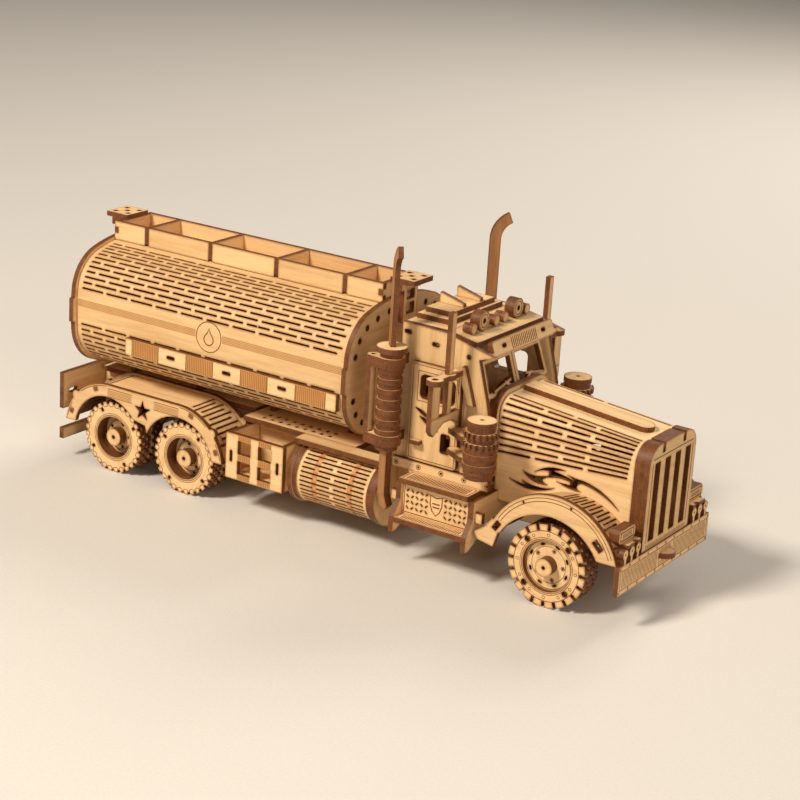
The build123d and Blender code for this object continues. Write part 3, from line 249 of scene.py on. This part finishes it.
def engraved(name, light, dark, direction, pitch):
    """Raster-engraved wood: scorched, with fine lines a laser head leaves as it sweeps."""
    g = Graph(name)
    place = g.add("TexCoord").outputs["Object"]
    sweep = 2 * math.pi / (20 * pitch * MM)
    wave = g.add("TexWave", {"Vector": place, "Scale": sweep, "Distortion": 0.8, "Detail": 2.0,
                             "Detail Scale": 1.0}, wave_type="BANDS", bands_direction=direction)
    blotch = g.noise(place, scale=260.0, detail=4.0)
    figure = g.weighted(wave.outputs["Fac"], 0.6, blotch, 0.4)
    colour = g.ramp(figure, [(0.25, dark), (0.75, light)])
    return g.finish(colour, figure, 0.05 * MM, roughness=0.7, specular=0.15)


DRUM_BELTS = [(at(x, 0, 0).x, at(x + DRUM_BELT_WIDTH, 0, 0).x) for x in DRUM_BELT_STARTS]

FACE = wood_face("birch_face", PALE, PALE_GRAIN)
BELTED_FACE = wood_face("belted_face", PALE, PALE_GRAIN, DRUM_BELTS)
EDGE = wood_edge("laser_edge", (0.018, 0.006, 0.002), (0.26, 0.085, 0.022))
DOWEL = wood_face("dowel", (0.62, 0.38, 0.18), (0.45, 0.24, 0.10))
BURNT_FACE = wood_face("smoked_face", (0.42, 0.20, 0.08), (0.20, 0.08, 0.03))
# Painted shade: a dark wood colour standing in for the shade inside bent sheets and on the formers inside
# the tank and hood
PAINTED_SHADE_FACE = wood_face("inner_face", (0.20, 0.09, 0.036), (0.10, 0.042, 0.016))
LINE = engraved("engraved_line", (0.30, 0.12, 0.04), (0.12, 0.04, 0.012), "DIAGONAL", 0.5)
FIELD = engraved("engraved_field", (0.54, 0.265, 0.09), (0.33, 0.14, 0.04), "X", 0.9)
STRIPE = engraved("engraved_stripe", (0.64, 0.38, 0.165), (0.42, 0.205, 0.075), "Z", 0.62)

# Face and edge of the nodes that aren't pale birch with charred edges
SPECIAL_WOOD = {
    "front_axle_dowel": (DOWEL, DOWEL),
    "middle_axle_dowel": (DOWEL, DOWEL),
    "rear_axle_dowel": (DOWEL, DOWEL),
    "exhaust_pipes": (BURNT_FACE, EDGE),
    "drum_skins": (BELTED_FACE, EDGE),
    # the formers inside the tank and hood get painted shade: a dark face colour standing in for the shade
    # inside
    "tank_formers": (PAINTED_SHADE_FACE, EDGE),
    "hood_formers": (PAINTED_SHADE_FACE, EDGE),
}


# ---------------------------------------------------------------- reading the CAD pieces

def find_root(parents, item):
    while parents[item] != item:
        parents[item] = parents[parents[item]]
        item = parents[item]
    return item


def triangles_of(mesh):
    """Vertex places in millimetres, and the vertices of every triangle."""
    places = np.empty(len(mesh.vertices) * 3, np.float32)
    mesh.vertices.foreach_get("co", places)
    corners = np.empty(len(mesh.polygons) * 3, np.int32)
    mesh.loops.foreach_get("vertex_index", corners)
    return places.reshape(-1, 3) / MM, corners.reshape(-1, 3)


def solids_and_surfaces(places, corners, normals):
    """Splits a node into closed solids, and joins each solid's triangles into smooth surfaces."""
    keys = np.round(places * POINTS_PER_MM).astype(np.int64)
    merged = np.unique(keys, axis=0, return_inverse=True)[1].reshape(-1)[corners]
    surface = list(range(len(corners)))
    spans = []
    loose = {}
    first = 0
    for index, triangle in enumerate(merged.tolist()):
        for a, b in zip(triangle, triangle[1:] + triangle[:1]):
            edge = (a, b) if a < b else (b, a)
            other = loose.pop(edge, None)
            if other is None:
                loose[edge] = index
            elif float(normals[index] @ normals[other]) > SMOOTH_COS:
                surface[find_root(surface, index)] = find_root(surface, other)
        if not loose:
            spans.append((first, index + 1))
            first = index + 1
    if first < len(corners):
        spans.append((first, len(corners)))
    roots = np.array([find_root(surface, index) for index in range(len(corners))])
    return spans, roots


def sheet_axes(points, normal, rng):
    """Directions along the grain, across it and through the sheet, for a piece with these points."""
    extent = points.max(0) - points.min(0)
    extent = extent * (1 - np.abs(normal))
    order = np.argsort(-extent)
    along = np.eye(3)[order[0]]
    if extent[order[1]] > NEARLY_SQUARE * extent[order[0]]:
        turn = rng.uniform(0, math.pi)
        along = math.cos(turn) * along + math.sin(turn) * np.eye(3)[order[1]]
    along = along - (along @ normal) * normal
    along = along / np.linalg.norm(along)
    return along, np.cross(normal, along), normal


def sheet_faces(normals, area, groups, bent):
    """Which triangles of one solid are sheet face, and the sheet's direction, None where it has none."""
    areas = {}
    flat = {}
    for group in np.unique(groups).tolist():
        member = groups == group
        total = (normals[member] * area[member][:, None]).sum(0)
        areas[group] = area[member].sum()
        if np.linalg.norm(total) > FLAT_SHARE * areas[group]:
            flat[group] = total / np.linalg.norm(total)
    if bent or not flat:
        largest = max(areas.values())
        return np.isin(groups, [g for g, size in areas.items() if size > SHEET_SHARE * largest]), None
    normal = flat[max(flat, key=areas.get)]
    return np.abs(normals @ normal) > FACE_COS, normal


def dress(obj, face, edge, bent):
    """Gives a CAD node its wood, and coordinates that run with the grain of each of its pieces.

    A bent sheet's hollow side gets painted shade: a dark wood colour standing in for the shade inside the
    bend.
    """
    mesh = obj.data
    places, corners = triangles_of(mesh)
    a, b, c = (places[corners[:, i]] for i in range(3))
    cross = np.cross(b - a, c - a)
    length = np.linalg.norm(cross, axis=1)
    normals = cross / np.maximum(length, TINY)[:, None]
    spans, roots = solids_and_surfaces(places, corners, normals)
    rng = random.Random(obj.name)
    ply = np.zeros((len(places), 3), np.float32)
    tone = np.zeros(len(places), np.float32)
    slots = np.full(len(corners), EDGE_SLOT, np.int32)
    for low, high in spans:
        area = length[low:high] / 2
        inside, normal = sheet_faces(normals[low:high], area, roots[low:high], bent)
        slots[low:high][inside] = FACE_SLOT
        used = np.unique(corners[low:high])
        points = places[used]
        centre = (points.max(0) + points.min(0)) / 2
        if bent:
            # the hollow side takes the painted shade, a dark colour in place of the shade inside the bend
            hollow_side = ((places[corners[low:high, 0]] - centre) * normals[low:high]).sum(1) < 0
            slots[low:high][inside & hollow_side] = PAINTED_SHADE_SLOT
        if normal is None:
            local = points - centre
        else:
            axes = sheet_axes(points, normal, rng)
            local = np.stack([(points - centre) @ axis for axis in axes], axis=1)
        local[:, 0] += rng.uniform(-GRAIN_SHIFT, GRAIN_SHIFT)
        local[:, 1] += rng.uniform(-GRAIN_SHIFT, GRAIN_SHIFT)
        ply[used] = local
        tone[used] = rng.random()
    mesh.attributes.new("ply", "FLOAT_VECTOR", "POINT").data.foreach_set("vector", ply.reshape(-1))
    mesh.attributes.new("tone", "FLOAT", "POINT").data.foreach_set("value", tone)
    mesh.materials.clear()
    for material in (face, edge, PAINTED_SHADE_FACE):
        mesh.materials.append(material)
    mesh.polygons.foreach_set("material_index", slots)
    mesh.update()


def dress_all():
    for name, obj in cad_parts.items():
        face, edge = SPECIAL_WOOD.get(name, (FACE, EDGE))
        dress(obj, face, edge, name in BENT)


# ---------------------------------------------------------------- shapes of marks, as polygons in (u, v)

def block(u0, u1, v0, v1):
    return [[(u0, v0), (u1, v0), (u1, v1), (u0, v1)]]


def ribbon(points, width, closed=False):
    """Band of a given width along a line of points."""
    count = len(points)
    edges = []
    for i, (u, v) in enumerate(points):
        before = points[i - 1] if closed or i else points[i]
        after = points[(i + 1) % count] if closed or i < count - 1 else points[i]
        du, dv = after[0] - before[0], after[1] - before[1]
        size = math.hypot(du, dv)
        nu, nv = dv / size * width / 2, -du / size * width / 2
        edges.append(((u + nu, v + nv), (u - nu, v - nv)))
    pairs = zip(edges, edges[1:] + edges[:1]) if closed else zip(edges, edges[1:])
    return [[a[0], b[0], b[1], a[1]] for a, b in pairs]


def arc(u, v, radius, start=0.0, end=360.0, steps=48):
    """Points on an arc, angles in degrees; a full turn doesn't repeat its first point."""
    last = steps if end - start >= 360 else steps - 1
    turns = [math.radians(start + (end - start) * i / last) for i in range(steps)]
    return [(u + radius * math.cos(turn), v + radius * math.sin(turn)) for turn in turns]


def ring(u, v, radius, width, steps=48):
    return ribbon(arc(u, v, radius, steps=steps), width, True)


def small_rings(u, v, radius, count, size, width):
    """Small rings spaced evenly round a circle."""
    return sum((ring(cu, cv, size, width, 16) for cu, cv in arc(u, v, radius, steps=count)), [])


def outline(u0, u1, v0, v1, width):
    """Border of a rectangle, drawn inside it."""
    outer = [(u0, v0), (u1, v0), (u1, v1), (u0, v1)]
    u2, u3, v2, v3 = u0 + width, u1 - width, v0 + width, v1 - width
    inner = [(u2, v2), (u3, v2), (u3, v3), (u2, v3)]
    return [[outer[i - 1], outer[i], inner[i], inner[i - 1]] for i in range(4)]


def hatch(u0, u1, v0, v1, pitch, width):
    """Upright lines that fill a rectangle."""
    count = int((u1 - u0) / pitch)
    start = (u0 + u1) / 2 - pitch * (count - 1) / 2
    return sum((block(start + pitch * i - width / 2, start + pitch * i + width / 2, v0, v1)
                for i in range(count)), [])


# ---------------------------------------------------------------- putting marks on the pieces

def burn(name, body, material, shapes, place, flip=False):
    """Thin inlays in a surface: shapes are polygons in (u, v), and place(u, v) is a point just over it.

    flip turns the polygons round where place would leave them facing the wood.
    """
    numbers = {}
    faces = []
    for polygon in shapes:
        corners = [numbers.setdefault((round(u, 4), round(v, 4)), len(numbers)) for u, v in polygon]
        faces.append(corners[::-1] if flip else corners)
    mesh = bpy.data.meshes.new(name)
    mesh.from_pydata([place(u, v) for u, v in numbers], [], faces)
    mesh.materials.append(material)
    obj = bpy.data.objects.new(name, mesh)
    bpy.context.scene.collection.objects.link(obj)
    solid = obj.modifiers.new("sink", "SOLIDIFY")
    solid.thickness = (LIFT + SINK) * MM
    solid.offset = -1.0
    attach(obj, body)


def burn_flanks(name, material, shapes, y, body="truck"):
    """The same marks, in (x, z), on the right and left faces that lie y from the middle."""
    for side, label in SIDES:
        burn(f"{name}_{label}", body, material, shapes, lambda u, v: at(u, side * (y + LIFT), v), side > 0)


def burn_front(name, material, shapes, x):
    """Marks in (y, z) on a face that looks forward."""
    burn(name, "truck", material, shapes, lambda u, v: at(x + LIFT, u, v))


def both(shapes_at):
    """Shapes for the right half and its mirror image, from a function of the side, -1 or 1."""
    return shapes_at(-1) + shapes_at(1)


def tank_marks():
    """Stripe along each flank broken by a plain badge: a ring round a drop."""
    def on_flank(side):
        def place(u, v):
            reach = math.sqrt(FLANK_RADIUS ** 2 - (v - FLANK_CENTRE_Z) ** 2)
            return at(u, side * (reach - FLANK_CENTRE_Y + LIFT), v)
        return place

    x, z = -157.3, 68.4
    stripe = block(-225.5, -163.9, 67.2, 70.3) + block(-150.7, -92.6, 67.2, 70.3)
    drop = arc(x, z - 1.0, 2.3, -215, 35, 20) + [(x + 0.7, z + 1.7), (x, z + 3.6), (x - 0.7, z + 1.7)]
    badge = ring(x, z, 6.1, 0.4, 64) + ribbon(drop, 0.5, True)
    for side, label in SIDES:
        burn(f"tank_stripe_{label}", "truck", STRIPE, stripe, on_flank(side), side > 0)
        burn(f"tank_badge_{label}", "truck", LINE, badge, on_flank(side), side > 0)


def tool_box_marks():
    """Scorched fields along the tool box, each between two lines."""
    z0, z1, half_line = 53.0, 59.6, 0.2
    fields = [(-194.5, -180.9), (-166.7, -153.3), (-139.5, -126.5), (-113.1, -99.0)]
    squares = sum((block(a + half_line, b - half_line, z0, z1) for a, b in fields), [])
    burn_flanks("tool_box_fields", FIELD, squares, HALF_TRACK)
    lines = sum((block(x - half_line, x + half_line, z0, z1) for field in fields for x in field), [])
    burn_flanks("tool_box_lines", LINE, lines, HALF_TRACK)


def front_wheel_lines(x, z):
    """Lines on the tyre and on the rim, for a wheel with its axle at (x, z)."""
    tyre = ring(x, z, 13.5, 0.3) + ring(x, z, 10.3, 0.25) + ring(x, z, 10.9, 0.25)
    tyre += small_rings(x, z, 12.1, 12, 0.55, 0.22)
    rim = ring(x, z, 7.0, 0.2) + ring(x, z, 9.3, 0.25)
    rim += small_rings(x, z, 5.9, 5, 0.75, 0.2)
    return tyre, rim


def rear_wheel_lines(x, z):
    """Lines on the tyre and on the rim, for a wheel with its axle at (x, z)."""
    tyre = ring(x, z, 9.3, 0.3) + ring(x, z, 10.0, 0.25)
    for cx, cz in arc(x, z, 14.45, 6.4, 366.4, 28):
        turn = math.degrees(math.atan2(cz - z, cx - x))
        tyre += ribbon(arc(cx, cz, 1.5, turn + 118, turn + 242, 8), 0.28)
    rim = ring(x, z, 6.05, 0.25) + ring(x, z, 4.1, 0.25)
    return tyre, rim


def wheel_marks():
    for body, x, z in AXLES:
        if body == "front_wheels":
            tyre, rim = front_wheel_lines(x, z)
            rim_y = FRONT_RIM_Y
        else:
            tyre, rim = rear_wheel_lines(x, z)
            rim_y = REAR_RIM_Y
        burn_flanks(f"{body}_tyre_lines", LINE, tyre, TYRE_FACE_Y, body)
        burn_flanks(f"{body}_rim_lines", LINE, rim, rim_y, body)


def fender_marks():
    width = 0.3
    cx, cz, radius = 2.6, 16.8, 27.4
    lines = sum((ribbon(arc(cx, cz, radius - inset, 22, 150, 40), width) for inset in (1.2, 2.5)), [])
    burn_flanks("front_fender_lines", LINE, lines, HALF_TRACK)
    x0, x1, star = -207.0, -169.8, -188.4
    bands = block(x0, star - 6.2, 33.3, 35.9) + block(star + 6.2, x1, 33.3, 35.9)
    burn_flanks("rear_fender_bands", STRIPE, bands, HALF_TRACK)
    lines = ribbon([(x0, 32.9), (star - 5.8, 32.9), (star - 5.8, 36.3), (x0, 36.3)], width)
    lines += ribbon([(x1, 36.3), (star + 5.8, 36.3), (star + 5.8, 32.9), (x1, 32.9)], width)
    for x, start, end, steps in ((x0, 92, 130, 16), (x0, 150, 168, 8), (x1, 50, 88, 16), (x1, 12, 30, 8)):
        lines += ribbon(arc(x, 15.0, 22.0, start, end, steps), width)
    burn_flanks("rear_fender_lines", LINE, lines, HALF_TRACK)


def cab_marks():
    door = outline(-65.5, -45.3, 40.4, 77.2, 0.3) + outline(-63.2, -45.9, 63.1, 75.0, 0.3)
    burn_flanks("door_lines", LINE, door, CAB_SIDE_Y)
    rivets = sum((ring(-70.6 + 10.05 * i, 37.1, 0.95, 0.25, 20) for i in range(5)), [])
    burn_flanks("skirt_rings", LINE, rivets, CAB_SIDE_Y)
    for side, label in SIDES:
        y = side * ROOF_LAMP_Y
        rings = ring(y, ROOF_LAMP_Z, 2.5, 0.4) + ring(y, ROOF_LAMP_Z, 3.4, 0.25)
        burn_front(f"roof_lamp_rings_{label}", LINE, rings, ROOF_LAMP_X)


def visor_marks():
    """Slats on the sun visor, a board that leans back as it rises."""
    foot_x, foot_z, back, rise = -34.4, 84.5, 2.2, 5.6
    slats = hatch(-9.4, 9.4, 0.8, 5.2, 1.25, 0.5)

    def on_visor(u, v):
        share = v / math.hypot(back, rise)
        return at(foot_x - back * share + LIFT, u, foot_z + rise * share + LIFT)

    burn("visor_slats", "truck", LINE, slats, on_visor)


def step_marks():
    x0, x1, mid = -63.0, -33.0, -48.0
    burn_flanks("step_panel_border", LINE, outline(x0 + 0.8, x1 - 0.8, 20.8, 32.2, 0.35), STEP_PANEL_Y)
    shield = [(mid - 2.6, 30.4), (mid - 2.6, 26.8), (mid - 1.6, 24.2), (mid, 22.6), (mid + 1.6, 24.2),
              (mid + 2.6, 26.8), (mid + 2.6, 30.4), (mid, 29.6)]
    bars = block(mid - 1.7, mid + 1.7, 27.0, 27.6) + block(mid - 1.5, mid + 1.5, 25.6, 26.2)
    burn_flanks("step_panel_shield", LINE, ribbon(shield, 0.5, True) + bars, STEP_PANEL_Y)
    for side, label in SIDES:
        for name, y0, y1, z in (("upper", 28.8, 36.3, 35.0), ("lower", 34.6, 39.0, 20.0)):
            low, high = sorted((side * y0, side * y1))
            shapes = outline(x0 + 0.8, x1 - 0.8, low, high, 0.3)
            shapes += hatch(x0 + 1.8, x1 - 1.8, low + 0.9, high - 0.9, 1.0, 0.55)
            burn(f"{name}_tread_{label}", "truck", LINE, shapes, lambda u, v: at(u, v, z + LIFT))


def grille_marks():
    def upright(side):
        u = side * 15.9
        return block(u - 0.2, u + 0.2, 27.6, 58.0)

    ticks = hatch(-16.2, 16.2, 25.2, 26.6, 1.05, 0.4)
    burn_front("grille_lines", LINE, both(upright) + block(-16.1, 16.1, 59.2, 59.6) + ticks, GRILLE_X)


def bumper_marks():
    pitch, width = 1.1, 0.35
    z0, z1 = 15.8, 22.2

    def beside_hook(side):
        u0, u1 = sorted((side * 5.8, side * 34.0))
        return hatch(u0, u1, z0, z1, pitch, width)

    behind_hook = hatch(-5.4, 5.4, z0, 17.6, pitch, width) + hatch(-5.4, 5.4, 21.2, z1, pitch, width)
    border = outline(-34.8, 34.8, 15.2, 22.8, 0.3)
    burn_front("bumper_lines", LINE, both(beside_hook) + behind_hook + border, BUMPER_X)


def headlamp_marks():
    def lamp(side):
        u0, u1 = sorted((side * 22.3, side * 32.3))
        return outline(u0, u1, 32.4, 36.0, 0.5) + hatch(u0 + 1.0, u1 - 1.0, 33.3, 35.1, 0.9, 0.45)

    burn_front("headlamp_lines", LINE, both(lamp), HEADLAMP_X)


def rack_marks():
    """Scorched squares on the bars over, between and under the rack's windows."""
    bars = ((14.1, 16.1), (22.1, 24.5), (30.5, 32.5))
    squares = sum((block(x, x + 6.3, low, high) for x in (-139.5, -129.5) for low, high in bars), [])
    burn_flanks("rack_squares", FIELD, squares, HALF_TRACK)


# ---------------------------------------------------------------- room, light and camera

def floor():
    mesh = bpy.data.meshes.new("floor")
    h = FLOOR_HALF_M
    mesh.from_pydata([(-h, -h, 0), (h, -h, 0), (h, h, 0), (-h, h, 0)], [], [(0, 1, 2, 3)])
    obj = bpy.data.objects.new("floor", mesh)
    bpy.context.scene.collection.objects.link(obj)
    g = Graph("floor_paper")
    fibre = g.noise(g.add("TexCoord").outputs["Object"], scale=900.0, detail=3.0)
    colour = g.ramp(fibre, [(0.3, FLOOR_DARK), (0.7, FLOOR_LIGHT)])
    mesh.materials.append(g.finish(colour, fibre, 0.05 * MM, roughness=0.85, specular=0.1))


def area_light(name, place, size, power, colour):
    light = bpy.data.lights.new(name, "AREA")
    light.shape = "DISK"
    light.size = size
    light.energy = power
    light.color = colour
    obj = bpy.data.objects.new(name, light)
    obj.location = place
    obj.rotation_euler = (at(*LIT_POINT) - Vector(place)).to_track_quat("-Z", "Y").to_euler()
    bpy.context.scene.collection.objects.link(obj)


def lights():
    for settings in LAMPS:
        area_light(*settings)
    world = bpy.data.worlds.new("studio")
    world.use_nodes = True
    sky = world.node_tree.nodes["Background"]
    sky.inputs["Color"].default_value = SKY
    sky.inputs["Strength"].default_value = SKY_STRENGTH
    bpy.context.scene.world = world
    bpy.context.scene.view_settings.view_transform = "Standard"


def camera():
    a, e, r = CAMERA_AZIMUTH, CAMERA_ELEVATION, CAMERA_ROLL
    back = Vector((math.sin(a) * math.cos(e), -math.cos(a) * math.cos(e), math.sin(e)))
    level = Vector((math.cos(a), math.sin(a), 0))
    upward = back.cross(level)
    right = math.cos(r) * level + math.sin(r) * upward
    up = -math.sin(r) * level + math.cos(r) * upward
    data = bpy.data.cameras.new("camera")
    data.lens = CAMERA_LENS
    data.sensor_width = CAMERA_SENSOR
    data.clip_start = CAMERA_NEAR_M
    obj = bpy.data.objects.new("camera", data)
    obj.matrix_world = Matrix.Translation(at(*CAMERA_AT)) @ Matrix((right, up, back)).transposed().to_4x4()
    bpy.context.scene.collection.objects.link(obj)
    bpy.context.scene.camera = obj


dress_all()
tank_marks()
tool_box_marks()
wheel_marks()
fender_marks()
cab_marks()
visor_marks()
step_marks()
grille_marks()
bumper_marks()
headlamp_marks()
rack_marks()
floor()
lights()
camera()
